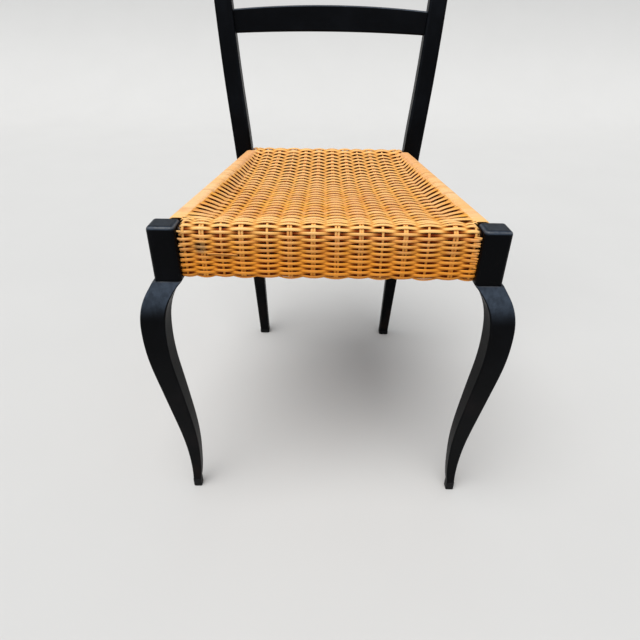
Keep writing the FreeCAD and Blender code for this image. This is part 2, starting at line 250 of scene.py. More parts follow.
@dataclass(frozen=True)
class BlackLacquer:
    """Brushed black lacquer over wood, worn through a little on its edges, with a painted sky reflection on
    upward faces.

    Its two bands are the heights, in metres, of the rims of the leg blocks' tops and of the ledge below them,
    which get a painted highlight mixed with worn lacquer.
    """

    grain: Grain
    name: str = "black_lacquer"
    black: Colour = (0.0015, 0.0017, 0.0023)
    dusty: Colour = (0.0032, 0.0037, 0.0052)
    rubbed_and_highlight: Colour = (0.105, 0.112, 0.124)
    warm: Colour = (0.018, 0.0085, 0.0050)
    painted_sky_reflection: Colour = (0.040, 0.054, 0.077)
    dullness: float = 0.27
    top_band: tuple[Pair, Pair] = ((0.4385, 0.4415), (0.4475, 0.4495))
    ledge_band: tuple[Pair, Pair] = ((0.3750, 0.3760), (0.3770, 0.3780))

    def make(self) -> bpy.types.Material:
        """Builds the finish.

        Returns:
            The material.
        """
        book = NodeBook(f"{self.name}_{self.grain.name.lower()}")
        place = book.place()
        height_up = book.part_of(place, "Z")
        with_grain = book.stretched(place, self.grain.value)
        grain = book.noise(with_grain, 420.0, 4.0, 0.6)
        streaks = book.noise(with_grain, 130.0, 4.0, 0.65).between(0.30, 0.75)
        clouds = book.noise(place, 14.0, 4.0, 0.55)
        blotches = book.noise(place, 75.0, 4.0, 0.7).between(0.40, 0.66)
        specks = book.noise(place, 260.0, 2.0, 0.5)
        rounded = book.add("ShaderNodeBevel", {"samples": 6}, {"Radius": 1.4 * MM})
        plain = book.add("ShaderNodeNewGeometry", out="Normal")
        edge = (1.0 - book.vector_math("DOT_PRODUCT", rounded, plain, "Value")).between(0.015, 0.11)
        rise = book.part_of(plain, "Z")
        flat_top = rise.between(0.80, 0.99)
        upward = rise.between(0.10, 0.46) * (1.0 - 0.58 * flat_top)
        low = 1.0 - height_up.between(0.02, 0.30)
        # Painted reflection of the sky on faces that turn upwards, strongest on the knees and weaker on flat
        # tops.
        sky = upward * (0.25 + clouds * 0.55 + streaks * 0.35 + blotches * 0.35)
        # Painted highlight, mixed with wear, on the upward-turned rims of the block tops and on the ledge
        # below them.
        rim = height_up.within(*self.top_band) * rise.within((0.44, 0.60), (0.74, 0.90))
        ledge = height_up.within(*self.ledge_band) * rise.between(0.45, 0.85)
        # Real wear on the edges, plus the painted highlight of the rims and the ledge.
        wear_and_highlight = (edge * book.noise(place, 55.0, 5.0, 0.7).between(0.42, 0.72)
                + (rim + ledge * 0.6) * book.noise(place, 90.0, 3.0, 0.6).between(0.34, 0.58))
        colour = book.blended(clouds.between(0.45, 0.78), self.black, self.dusty)
        colour = book.blended(low * clouds.between(0.50, 0.75) * 0.6, colour, self.warm)
        colour = book.blended(sky, colour, self.painted_sky_reflection)
        colour = book.blended(wear_and_highlight * 0.75, colour, self.rubbed_and_highlight)
        return book.surfaced({
            "Base Color": colour,
            "Roughness": self.dullness + clouds * 0.14 + specks * 0.05 + wear_and_highlight * 0.25,
            "Normal": book.bumped(grain * 0.55 + specks.between(0.62, 0.75) * 0.45, 0.00016, 0.55),
            "Specular IOR Level": 0.05,
            "Coat Weight": upward * (1.0 - flat_top * 0.8) * 0.26,
            "Coat Roughness": 0.22,
        })


@dataclass(frozen=True)
class SplitCane:
    """Polished split cane: each strand has its own tone, and the front hangs in a deeper amber that is
    painted shade.

    Places are in metres, and depths count from the fronts of the leg blocks. Of each pair, the first is where
    a change of tone begins and the second where it is complete.
    """

    name: str = "split_cane"
    pale: Colour = (0.94, 0.52, 0.155)
    honey: Colour = (0.92, 0.45, 0.075)
    peach: Colour = (0.90, 0.39, 0.125)
    polished_and_highlight: Colour = (0.96, 0.60, 0.29)
    bright: Colour = (1.0, 0.58, 0.185)
    amber: Colour = (0.82, 0.300, 0.024)
    aged: Colour = (0.38, 0.125, 0.018)
    shadow: Colour = (0.30, 0.095, 0.016)
    painted_deep_shade: Colour = (0.25, 0.085, 0.014)
    stained: Colour = (0.085, 0.065, 0.042)
    salmon: Colour = (0.82, 0.355, 0.145)
    tanned: Colour = (0.66, 0.225, 0.030)
    stain_place: Triple = (-0.1560, 0.009, 0.4195)
    stain_reach: Pair = (0.004, 0.011)
    face_depths: Pair = (0.007, 0.030)
    hang_heights: Pair = (0.392, 0.440)
    brow_heights: Pair = (0.436, 0.443)
    brow_depths: Pair = (0.028, 0.060)
    open_depths: Pair = (0.10, 0.38)
    rear_depths: Pair = (0.22, 0.42)
    left_places: Pair = (-0.18, -0.12)

    def make(self, front_y: float) -> bpy.types.Material:
        """Builds the finish.

        Args:
            front_y: Y of the front faces of the leg blocks, in metres.

        Returns:
            The material.
        """
        book = NodeBook(self.name)
        place = book.place()
        inward = book.part_of(place, "Y") - front_y
        height_up = book.part_of(place, "Z")
        along = book.add("ShaderNodeUVMap", {"uv_map": "along_strand"})
        strand = book.add("ShaderNodeNewGeometry", out="Random Per Island")
        lift = book.add("ShaderNodeAttribute", {"attribute_name": "lift"}, out="Fac")
        seed = book.add("ShaderNodeCombineXYZ", sockets={"Z": strand * 70.0})
        fibre_place = book.vector_math("ADD", book.stretched(along, (26.0, 13.0, 1.0)), seed)
        fibres = book.noise(fibre_place, 1.0, 4.0, 0.65)
        slow_place = book.vector_math("ADD", book.stretched(along, (9.0, 0.6, 1.0)), seed)
        slow = book.noise(slow_place, 1.0, 2.0, 0.5).between(0.42, 0.72)
        bands = book.noise(book.stretched(place, (2.0, 55.0, 20.0)), 1.0, 3.0, 0.6).between(0.38, 0.62)
        worn = book.noise(book.stretched(place, (3.0, 21.0, 9.0)), 1.0, 3.0, 0.55).between(0.36, 0.62)
        patches = book.noise(place, 26.0, 3.0, 0.6).between(0.50, 0.72)
        # The front face, most of all low down, is painted a deeper amber: painted shade of the front-facing
        # apron.
        front = 1.0 - inward.between(*self.face_depths)
        hang = 1.0 - height_up.between(*self.hang_heights)
        rear = inward.between(*self.rear_depths)
        left = 1.0 - book.part_of(place, "X").between(*self.left_places)
        wrapped = lift.between(1.10, 1.40)
        polish = wrapped * (0.15 + 0.70 * worn + left * 0.25) * (1.0 - rear * 0.75)
        odd = strand.between(0.78, 1.0) * 0.42 + strand.between(0.10, 0.60) * 0.10
        # Painted highlight on the brow of the front roll; the open middle of the top is also made paler, on
        # its raised strands only.
        brow = height_up.between(*self.brow_heights) * (1.0 - inward.between(*self.brow_depths))
        brow_highlight_and_pale_field = brow * 0.95 + inward.between(*self.open_depths) * (0.62 - wrapped * 0.62)
        mark = Vector(self.stain_place) + Vector((0.0, front_y, 0.0))
        off_mark = book.vector_math("DISTANCE", place, tuple(mark), "Value")
        stain = (1.0 - off_mark.between(*self.stain_reach)) * fibres.between(0.30, 0.62)
        # Painted highlight on the crests of the strands, weaker on the front face.
        crest = lift.between(0.50, 1.00) * (1.0 - front * (0.35 + hang * 0.65)) * 0.30
        colour = book.blended(bands, self.pale, self.honey)
        for share, tone in ((slow * 0.8, self.peach),
                            (polish, self.polished_and_highlight),
                            (wrapped * rear * 0.65, self.salmon),
                            (front * (0.28 + hang * 0.66), self.amber),
                            (fibres.between(0.54, 0.88) * 0.36, self.aged),
                            (odd, self.aged),
                            (patches * 0.55, self.tanned),
                            (brow_highlight_and_pale_field * lift.between(-0.4, 0.5), self.bright),
                            (stain * 0.95, self.stained),
                            (crest, self.polished_and_highlight)):
            colour = book.blended(share, colour, tone)
        colour = book.blended(1.0 - lift.between(-1.05, 0.40), colour, self.shadow, "MULTIPLY")
        # Painted deep shade on the lowest strands: the shade sheet, the strands that dive on the slopes and
        # the line under the sliver.
        colour = book.blended(1.0 - lift.between(-1.60, -1.05), colour, self.painted_deep_shade)
        return book.surfaced({
            "Base Color": colour,
            "Roughness": 0.40 + fibres * 0.22,
            "Normal": book.bumped(fibres, 0.00022, 0.7),
            "Specular IOR Level": 0.08,
            "Coat Weight": lift.between(0.3, 0.95) * 0.42,
            "Coat Roughness": 0.25,
        })


@dataclass(frozen=True)
class FootCapPlastic:
    """Moulded black plastic of the foot glides, scuffed near the floor."""

    black: Colour = (0.0035, 0.0036, 0.0042)
    scuffed: Colour = (0.020, 0.019, 0.018)

    def make(self) -> bpy.types.Material:
        """Builds the finish.

        Returns:
            The material.
        """
        book = NodeBook("foot_cap_plastic")
        place = book.place()
        stipple = book.noise(place, 1500.0, 2.0, 0.5)
        scratches = book.noise(book.stretched(place, (1.0, 1.0, 0.15)), 600.0, 3.0, 0.6)
        low = 1.0 - book.part_of(place, "Z").between(0.0, 0.007)
        scuffs = low * scratches.between(0.45, 0.62)
        return book.surfaced({
            "Base Color": book.blended(scuffs, self.black, self.scuffed),
            "Roughness": 0.48 + scuffs * 0.25,
            "Specular IOR Level": 0.12,
            "Normal": book.bumped(stipple + scratches * 0.6, 0.00006, 0.6),
        })


@dataclass(frozen=True)
class TackSteel:
    """Blued steel of the tacks, with a trace of rust."""

    blued: Colour = (0.16, 0.17, 0.19)
    rusty: Colour = (0.20, 0.085, 0.035)

    def make(self) -> bpy.types.Material:
        """Builds the finish.

        Returns:
            The material.
        """
        book = NodeBook("tack_steel")
        rust = book.noise(book.place(), 480.0, 4.0, 0.6).between(0.48, 0.62)
        return book.surfaced({
            "Base Color": book.blended(rust, self.blued, self.rusty),
            "Metallic": 1.0 - rust * 0.8,
            "Roughness": 0.32 + rust * 0.4,
            "Normal": book.bumped(rust, 0.00005, 0.5),
        })


@dataclass(frozen=True)
class PaleFloor:
    """Matt pale floor of the studio."""

    tone: Colour = (0.64, 0.64, 0.635)
    worn: Colour = (0.61, 0.61, 0.605)

    def make(self) -> bpy.types.Material:
        """Builds the finish.

        Returns:
            The material.
        """
        book = NodeBook("pale_floor")
        clouds = book.noise(book.place(), 3.0, 4.0, 0.5)
        return book.surfaced({"Base Color": book.blended(clouds, self.tone, self.worn), "Roughness": 0.85})


# Cane strands


@dataclass(frozen=True)
class CaneSize:
    """Width and thickness of a strand of split cane, in millimetres."""

    width: float
    thickness: float


def travelled(points: np.ndarray) -> np.ndarray:
    """How far along a line of points each of them lies."""
    return np.concatenate([[0.0], np.cumsum(np.linalg.norm(np.diff(points, axis=0), axis=1))])


@dataclass
class StrandBundle:
    """Flat oval strands of cane that become one mesh."""

    name: str
    sides: int = 10
    squareness: float = 2.1
    points: list[np.ndarray] = field(default_factory=list)
    faces: list[np.ndarray] = field(default_factory=list)
    caps: list[list[int]] = field(default_factory=list)
    rounds: list[np.ndarray] = field(default_factory=list)
    lifts: list[np.ndarray] = field(default_factory=list)
    count: int = 0

    def lay(self, path: np.ndarray, flat: np.ndarray, size: CaneSize, lift: np.ndarray | float,
            taper: float = 1.0) -> None:
        """Lays one strand.

        Args:
            path: Points of its middle line, in millimetres.
            flat: The way its width runs, once or for each point.
            size: Its width and thickness.
            lift: How far it stands over the stakes, once or for each point, which also sets its painted shade
                and highlight.
            Weavers go from -1 to 1, wraps and loose ends above that and hidden strands of painted shade below
            it.
            taper: Share of the width that its last point has.
        """
        ahead = np.gradient(path, axis=0)
        ahead /= np.linalg.norm(ahead, axis=1, keepdims=True)
        flat = flat - ahead * np.sum(flat * ahead, axis=1, keepdims=True)
        flat /= np.linalg.norm(flat, axis=1, keepdims=True)
        up = np.cross(ahead, flat)
        turn = np.linspace(0.0, 2.0 * math.pi, self.sides, endpoint=False)
        bend = 2.0 / self.squareness
        across = np.sign(np.cos(turn)) * np.abs(np.cos(turn)) ** bend * size.width / 2
        over = np.sign(np.sin(turn)) * np.abs(np.sin(turn)) ** bend * size.thickness / 2
        narrowing = np.ones(len(path))
        narrowing[-3:] = np.linspace(1.0, taper, 3)
        wide = (across * narrowing[:, None])[:, :, None]
        thick = (over * narrowing[:, None])[:, :, None]
        ring = path[:, None, :] + flat[:, None, :] * wide + up[:, None, :] * thick
        start = self.count + np.arange(len(path) - 1)[:, None] * self.sides
        side = np.arange(self.sides)
        here, after = start + side, start + (side + 1) % self.sides
        quads = np.stack([here, after, after + self.sides, here + self.sides], -1)
        length = travelled(path)[:, None] * MM
        low, high, around = length[:-1], length[1:], side / self.sides
        beyond = around + 1.0 / self.sides
        corners = ((low, around), (low, beyond), (high, beyond), (high, around))
        rounds = np.stack([np.stack(np.broadcast_arrays(*corner), -1) for corner in corners], 2)
        self.faces.append(quads.reshape(-1, 4))
        self.rounds.append(rounds.reshape(-1, 2))
        self.caps.append((self.count + side)[::-1].tolist())
        self.caps.append((self.count + (len(path) - 1) * self.sides + side).tolist())
        self.points.append(ring.reshape(-1, 3))
        self.lifts.append(np.repeat(np.broadcast_to(lift, len(path)), self.sides))
        self.count += len(path) * self.sides

    def make(self, shift_y: float, finish: bpy.types.Material) -> bpy.types.Object:
        """Turns the strands into an object.

        Args:
            shift_y: What is added to Y, in metres.
            finish: Material of the strands.

        Returns:
            The object, linked to the scene.
        """
        points = np.concatenate(self.points) * MM + np.array([0.0, shift_y, 0.0])
        quads = np.concatenate(self.faces)
        mesh = bpy.data.meshes.new(self.name)
        mesh.from_pydata(points.tolist(), [], quads.tolist() + self.caps)
        layer = mesh.uv_layers.new(name="along_strand")
        rounds = np.concatenate(self.rounds + [np.zeros((len(self.caps) * self.sides, 2))])
        layer.data.foreach_set("uv", rounds.astype(np.float32).ravel())
        lift = mesh.attributes.new("lift", "FLOAT", "POINT")
        lift.data.foreach_set("value", np.concatenate(self.lifts).astype(np.float32))
        mesh.polygons.foreach_set("use_smooth", np.ones(len(mesh.polygons), bool))
        mesh.materials.append(finish)
        mesh.update()
        return linked(self.name, mesh)


def drifting(places: np.ndarray, size: float, rng: np.random.Generator, length: float = 160.0) -> np.ndarray:
    """A slow, smooth wander of about the given size, as a sum of three waves.

    Args:
        places: Where it is read, in millimetres.
        size: Rough half range of the wander.
        rng: Seeded source of the phases.
        length: Length of the longest wave.

    Returns:
        The wander at each place.
    """
    total = np.zeros(len(places))
    for wave in range(3):
        pace = 2.0 * math.pi * (1.0 + wave * 0.83) / length
        total += np.sin(places * pace + rng.uniform(0.0, 2.0 * math.pi)) / (1.0 + wave)
    return total * size / 1.5


def rounded_route(corners: list[Triple], step: float = 1.2) -> np.ndarray:
    """A route of straight runs and round corners in a plane.

    Args:
        corners: Each corner's two coordinates and its radius. The first and the last are its ends.
        step: Distance between the points on it.

    Returns:
        Points at even steps along the route.
    """
    points = [np.array(corners[0][:2])]
    for before, here, after in zip(corners, corners[1:], corners[2:]):
        corner = np.array(here[:2])
        back = np.array(before[:2]) - corner
        on = np.array(after[:2]) - corner
        back /= np.linalg.norm(back)
        on /= np.linalg.norm(on)
        half = math.acos(float(np.clip(back @ on, -1.0, 1.0))) / 2
        reach = here[2] / math.tan(half)
        middle = corner + (back + on) / np.linalg.norm(back + on) * here[2] / math.sin(half)
        start = corner + back * reach - middle
        end = corner + on * reach - middle
        sweep = math.pi - 2 * half
        for share in np.linspace(0.0, 1.0, 14):
            blend = math.sin((1 - share) * sweep) * start + math.sin(share * sweep) * end
            points.append(middle + blend / math.sin(sweep))
    points.append(np.array(corners[-1][:2]))
    line = np.array(points)
    travel = travelled(line)
    even = np.linspace(0.0, travel[-1], max(3, int(travel[-1] / step)))
    return np.stack([np.interp(even, travel, line[:, axis]) for axis in (0, 1)], 1)


def smooth_between(places: np.ndarray, knots: np.ndarray, values: np.ndarray) -> np.ndarray:
    """A smooth curve through given values.

    Args:
        places: Where it is read.
        knots: Places of the values, from low to high.
        values: What the curve passes through.

    Returns:
        The curve at each place, level outside the first and the last knot.
    """
    slopes = np.gradient(values, knots)
    slopes[[0, -1]] = 0.0
    places = np.clip(places, knots[0], knots[-1])
    index = np.clip(np.searchsorted(knots, places) - 1, 0, len(knots) - 2)
    width = knots[index + 1] - knots[index]
    share = (places - knots[index]) / width
    rise = (2 * share ** 3 - 3 * share ** 2 + 1) * values[index]
    rise += (3 * share ** 2 - 2 * share ** 3) * values[index + 1]
    lean = (share ** 3 - 2 * share ** 2 + share) * slopes[index]
    lean += (share ** 3 - share ** 2) * slopes[index + 1]
    return rise + lean * width


@dataclass
class CaneSeat:
    """The woven seat: stakes from front to back and weavers from side to side, over all four rails.

    Its sizes are those of the rails that carry it and of the cane. A rail is given by its front, its back,
    its underside and its top.
    """

    half_between_blocks: float = 182.2
    half_between_posts: float = 143.6
    front_rail: Rail = (13.0, 31.0, 383.0, 443.0)
    front_roll: float = 9.0
    rear_rail: Rail = (429.5, 443.5, 408.0, 444.0)
    rear_roll: float = 5.0
    side_rail_outer: float = 199.8
    side_rail_slope: float = 44.6 / 418.0
    side_rail_width: float = 16.0
    side_rail_heights: Pair = (409.0, 447.0)
    side_rail_roll: float = 5.0
    side_rail_ends: Pair = (34.6, 418.0)
    weaver: CaneSize = CaneSize(3.9, 2.3)
    top_strand: CaneSize = CaneSize(3.75, 1.6)
    # The shade sheet: dark strands under the weave that paint the shade seen through its gaps.
    shade_sheet_strand: CaneSize = CaneSize(5.6, 1.1)
    shade_sheet_depth: float = 3.5
    shade_sheet_count: int = 84
    shade_sheet_points: int = 68
    shade_sheet_lift: float = -1.5
    stake: CaneSize = CaneSize(3.1, 2.0)
    stake_lift: float = 0.25
    wrap_lift: float = 1.5
    corner_wrap_lift: float = 1.2
    swing: float = 1.7
    top_swing: float = 2.0
    bulge: float = 1.35
    slope_dive: float = 1.4
    waviness: float = 0.5
    column_places: tuple[float, ...] = (-153.3, -130.3, -106.0, -74.4, -47.5, -19.1, 9.8, 38.8, 64.5, 92.0,
                                        119.9, 151.6)
    column_stakes: tuple[int, ...] = (2, 1, 2, 1, 2, 2, 2, 2, 1, 2, 1, 2)
    rear_narrowing: float = 0.13
    narrowing_run: float = 410.0
    apron_pitch: float = 3.4
    roll_pitch: float = 4.1
    under_edge_pitch: float = 2.8
    brow_run: float = 26.0
    under_edge_run: float = 27.0
    pitch_spread: float = 6.0
    pair_pitch: float = 3.82
    border: float = 6.5
    end_pinch: float = 0.5
    rear_pitch: float = 3.35
    corner_start: float = 140.0
    corner_rise: float = 1.6
    corner_opening: float = 3.6
    side_gap: float = 1.4
    side_gap_heights: Pair = (396.0, 426.0)
    corner_tuck: float = 5.0
    first_row_drop: float = 1.2
    dish_places: tuple[float, ...] = (22.0, 34.0, 73.0, 131.0, 198.0, 268.0, 330.0, 385.0, 415.0, 431.0)
    dish_middle: tuple[float, ...] = (445.8, 444.8, 441.0, 435.6, 429.8, 427.2, 430.2, 437.4, 442.2, 445.6)
    dish_sides: tuple[float, ...] = (445.8, 444.4, 438.6, 435.2, 433.3, 432.5, 433.6, 437.4, 441.6, 445.6)
    sliver_ends: Pair = (-148.0, -111.0)
    sliver_height: float = 411.4
    sliver_points: int = 18
    loose_heights: Pair = (394.0, 438.0)
    loose_counts: tuple[int, int] = (11, 6)
    seed: int = 11

    def __post_init__(self) -> None:
        """Works out the two routes over the front and rear rails and starts the random source."""
        self.rng = np.random.default_rng(self.seed)
        y_front, y_back, z_low, z_high = self.front_rail
        off = self.swing + self.weaver.thickness / 2
        roll = self.front_roll + off
        self.front_route = rounded_route([
            (y_back + 1.6, z_low + 12.0, 0.0),
            (y_back + 1.6, z_low - off, 4.0),
            (y_front - off, z_low - off, 4.0),
            (y_front - off, z_high + off, roll),
            (self.dish_places[0] + 9.5, z_high + off, 0.0),
        ])
        y_front, y_back, z_low, z_high = self.rear_rail
        roll = self.rear_roll + off
        self.rear_route = rounded_route([
            (self.side_rail_ends[1] + 0.8, 443.0, 0.0),
            (y_front + 1.5, z_high + off, 30.0),
            (y_back + off, z_high + off, roll),
            (y_back + off, z_low - off, 4.0),
            (y_front - off, z_low - off, 4.0),
            (y_front - off, z_low + 6.0, 0.0),
        ])

    # Places

    def column_x(self, y: float | np.ndarray) -> np.ndarray:
        """Places of the stake columns, at each Y where they are asked for.

        Args:
            y: One distance from the front, or several.

        Returns:
            A row of places for each distance.
        """
        share = np.clip((np.atleast_1d(y) - self.dish_places[0]) / self.narrowing_run, 0.0, 1.0)
        return np.array(self.column_places) * (1.0 - self.rear_narrowing * share[:, None])

    def weave_lift(self, x: np.ndarray, columns: np.ndarray, edge: float) -> np.ndarray:
        """How a weaver that passes over the first column rises and dips.

        Args:
            x: Places along the weaver.
            columns: Places of the columns that it crosses.
            edge: Place at which it is level again, outside the last column.

        Returns:
            Its lift at each place, from -1 to 1.
        """
        places = np.concatenate([[-edge], columns, [edge]])
        counts = np.concatenate([[-0.5], np.arange(len(columns)), [len(columns) - 0.5]])
        turns = np.interp(x, places, counts)
        return np.tanh(self.waviness * np.cos(math.pi * turns)) / math.tanh(self.waviness)

    def swung(self, lift: np.ndarray) -> np.ndarray:
        """The lift as a share of the swing: a strand bulges more over a stake than it dips under one."""
        return np.where(lift > 0.0, lift * self.bulge, lift)

    def dish(self, x: np.ndarray, y: np.ndarray) -> np.ndarray:
        """Height of the middle of the weave between the outer columns.

        Args:
            x: Places across.
            y: Distances from the front.

        Returns:
            Heights above the floor.
        """
        knots = np.array(self.dish_places)
        middle = smooth_between(y, knots, np.array(self.dish_middle))
        sides = smooth_between(y, knots, np.array(self.dish_sides))
        outer = np.abs(self.column_x(y)[:, 0])
        share = np.clip(np.abs(x) / outer, 0.0, 1.25)
        return middle + (sides - middle) * share ** 2

    def outer_column(self, y: float) -> Pair:
        """X and Z of the outermost column on the right.

        Args:
            y: Distance from the front.

        Returns:
            Its X, as the mean of both sides, and the height of the weave there.
        """
        columns = self.column_x(y)[0]
        half = (columns[-1] - columns[0]) / 2
        return half, float(self.dish(np.array([half]), np.array([y]))[0])

    def level_across(self, x: np.ndarray, y: float, edge: Pair) -> np.ndarray:
        """Height of the middle of the weave, with its straight slopes from the outer columns to the rails.

        Args:
            x: Places across.
            y: Distance from the front.
            edge: X and Z at which the weave meets the right side rail.

        Returns:
            Heights above the floor.
        """
        half, side_z = self.outer_column(y)
        reach = np.clip((np.abs(x) - half) / (edge[0] - half), 0.0, 1.0)
        slope = side_z + (edge[1] - side_z) * reach
        return np.where(np.abs(x) > half, slope, self.dish(x, np.full(len(x), y)))

    def rail_wrap(self, y: float, column: Pair) -> np.ndarray:
        """Route of a strand round the right side rail, from low on its inner face up to the seat.

        Args:
            y: Distance from the front.
            column: X and Z of the nearest stake column, for which the strand makes.

        Returns:
            Its points. The last one is where the strand leaves the rail.
        """
        off = self.weaver.thickness / 2 + 0.15
        outer = self.side_rail_outer - self.side_rail_slope * y + off
        inner = outer - self.side_rail_width - 2 * off
        low, high = self.side_rail_heights
        low -= off
        high += off
        corners = [
            (inner, low + 12.0, 0.0),
            (inner, low, 3.3),
            (outer, low, 3.3),
            (outer, high, self.side_rail_roll + off),
            (inner + 2.6, high, 9.0),
            (*column, 0.0),
        ]
        if y < self.side_rail_ends[0]:
            high -= self.first_row_drop
            start = (self.half_between_blocks - 0.4, high - 2.2, 0.0)
            corners = [start, (inner + 0.6, high, 4.0), corners[-1]]
        route = rounded_route(corners, 2.0)
        return np.insert(route[route[:, 0] > inner - 1.0], 1, y, axis=1)

    # Weavers

    def top_weaver(self, bundle: StrandBundle, y: float, over_first: bool) -> None:
        """Weaves one strand across the seat, wound round both side rails.

        Args:
            bundle: Where the strand goes.
            y: Distance from the front.
            over_first: Whether it passes over the first column.
        """
        outer = self.outer_column(y)
        right = self.rail_wrap(y, outer)
        left = right * MIRRORED
        edge_x, _, edge_z = right[-1]
        inner = np.arange(-edge_x + 1.6, edge_x - 1.0, 2.3)
        sign = 1.0 if over_first else -1.0
        lift = self.weave_lift(inner, self.column_x(y)[0], edge_x) * sign
        lift *= 1.0 + drifting(inner, 0.07, self.rng)
        on_slope = np.clip((np.abs(inner) - outer[0]) / (edge_x - outer[0]), 0.0, 1.0)
        dive = np.sin(math.pi * on_slope ** 0.7) * (lift < 0.0)
        level = self.level_across(inner, y, (edge_x, edge_z)) - dive * self.slope_dive
        middle = np.stack([inner, np.full(len(inner), y), level + self.swung(lift) * self.top_swing], 1)
        # Strands that dive on the slopes get a lower lift, so they are painted in deeper shade.
        lift = lift - dive * 0.7
        path = np.concatenate([left, middle, right[::-1]])
        path[:, 1] += drifting(path[:, 0], 0.40, self.rng, length=110.0)
        wound = np.full(len(right), self.wrap_lift)
        self._lay_across(bundle, path, BACK, np.concatenate([wound, lift, wound]), self.top_strand)

    def rail_weaver(self, bundle: StrandBundle, place: float, over_first: bool, rear: bool) -> None:
        """Weaves one strand along the front or the rear rail, turned in at both ends.

        Args:
            bundle: Where the strand goes.
            place: How far along the route over the rail the strand lies.
            over_first: Whether it passes over the first column.
            rear: Whether the rail is the rear one.
        """
        route = self.rear_route if rear else self.front_route
        half = self.half_between_posts if rear else self.half_between_blocks
        values = np.column_stack([route, np.gradient(route, axis=0)])
        y, z, ahead_y, ahead_z = (np.interp(place, travelled(route), value) for value in values.T)
        along = np.array([0.0, ahead_y, ahead_z])
        along /= np.linalg.norm(along)
        out = np.array([0.0, -along[2], along[1]])
        columns = self.column_x(self.dish_places[-1 if rear else 0])[0]
        columns = np.concatenate([[-half + self.border], columns, [half - self.border]])
        on_roll = 0.0 if rear else max(0.0, float(out[2]))
        high = 0.0 if rear else float(np.interp(z, self.side_gap_heights, (0.0, 1.0)))
        reach = half + 0.2 - on_roll * self.corner_opening - (1.0 - on_roll) * high * self.side_gap
        x = np.linspace(-reach, reach, int(half / 1.15))
        sign = -1.0 if over_first else 1.0
        lift = self.weave_lift(x, columns, half + 2.0) * sign * (1.0 + drifting(x, 0.10, self.rng))
        path = np.array([0.0, y, z]) + x[:, None] * ACROSS + out * (self.swung(lift) * self.swing)[:, None]
        near_end = np.clip((np.abs(x) - reach + 10.0) / 10.0, 0.0, 1.0)
        pinch = near_end ** 1.5 * np.sign(x) * sign * self.end_pinch * (1.0 - abs(float(out[2])))
        path += along * (drifting(x, 0.42, self.rng, length=110.0) + pinch)[:, None]
        if not rear:
            corner = np.clip((np.abs(x) - self.corner_start) / (half - self.corner_start), 0.0, 1.0)
            path[:, 2] += corner ** 2 * on_roll ** 2 * self.corner_rise
            path += out * (near_end ** 2 * -on_roll * self.corner_tuck)[:, None]
        # Near the blocks the lift is raised so that the ends are painted pale: a painted highlight where the
        # blocks shade them.
        lift_with_painted_lit_ends = lift + np.clip(near_end * 2.0 - 1.0, 0.0, 1.0) * 1.7
        self._lay_across(bundle, path, along, lift_with_painted_lit_ends, self.weaver)

    def _lay_across(self, bundle: StrandBundle, path: np.ndarray, flat: np.ndarray, lift: np.ndarray,
                    size: CaneSize) -> None:
        """Lays a weaver whose width differs a little from its neighbours'."""
        width = size.width * (1.0 + self.rng.uniform(-0.09, 0.06))
        bundle.lay(path, flat, CaneSize(width, size.thickness * self.rng.uniform(0.90, 1.06)), lift)

    def rows_over_front(self) -> list[float]:
        """Places of the weavers along the front route: close on the face, open over the roll.

        Returns:
            Distances along the route.
        """
        length = float(travelled(self.front_route)[-1])
        brow = length - self.brow_run
        places = []
        place = 1.0
        while place < length - 1.0:
            places.append(place + self.rng.uniform(-0.2, 0.2))
            openness = math.exp(-((place - brow) / self.pitch_spread) ** 2)
            closeness = math.exp(-((place - self.under_edge_run) / self.pitch_spread) ** 2)
            place += (self.apron_pitch + (self.roll_pitch - self.apron_pitch) * openness
                      + (self.under_edge_pitch - self.apron_pitch) * closeness)
        return places

    def weave_apron(self) -> StrandBundle:
        """Weaves the apron that hangs over the front rail.

        Returns:
            Its strands.
        """
        bundle = StrandBundle("front_apron_weavers")
        for index, place in enumerate(self.rows_over_front()):
            self.rail_weaver(bundle, place, index % 2 == 0, False)
        self.lay_loose_ends(bundle)
        return bundle

    def lay_loose_ends(self, bundle: StrandBundle) -> None:
        """Lays the sprung sliver on the left of the apron and the cut ends that stand out beside the blocks.

        Args:
            bundle: Where the strands go.
        """
        face = self.front_rail[0] - 2.0 * self.swing - self.weaver.thickness
        share = np.linspace(0.0, 1.0, self.sliver_points)
        arch = np.sin(share * math.pi)
        x = np.linspace(*self.sliver_ends, self.sliver_points)
        sliver = np.stack([x, face + 0.6 - arch * 2.6, self.sliver_height + arch * 1.6 - share], 1)
        bundle.lay(sliver, UP, CaneSize(1.5, 0.9), 1.3, 0.4)
        # A dark strand just under the sliver, the painted shadow line below it.
        bundle.lay(sliver + np.array([0.0, 0.5, -1.3]), UP, CaneSize(1.5, 1.0), -1.7, 0.5)
        along = np.linspace(0.0, 1.0, 6)
        for side, count in zip((1.0, -1.0), self.loose_counts):
            for z in np.linspace(*self.loose_heights, count) + self.rng.uniform(-1.5, 1.5, count):
                out = along ** 2 * (1.0 + self.rng.uniform(0.0, 1.6))
                x = side * (self.half_between_blocks - 9.0 + along * 8.6)
                end = np.stack([x, face + 1.2 - out, z + out * self.rng.uniform(-0.6, 1.0)], 1)
                bundle.lay(end, UP, CaneSize(2.3, 1.4), 0.2 + along * 1.4)

    def weave_top(self) -> StrandBundle:
        """Weaves the dished top in pairs of strands that also cover the side rails.

        Returns:
            Its strands.
        """
        bundle = StrandBundle("seat_top_weavers")
        for index, y in enumerate(self.rows_over_top()):
            self.top_weaver(bundle, float(y) + self.rng.uniform(-0.12, 0.12), (index // 2) % 2 == 0)
        self.lay_corner_wraps(bundle)
        return bundle

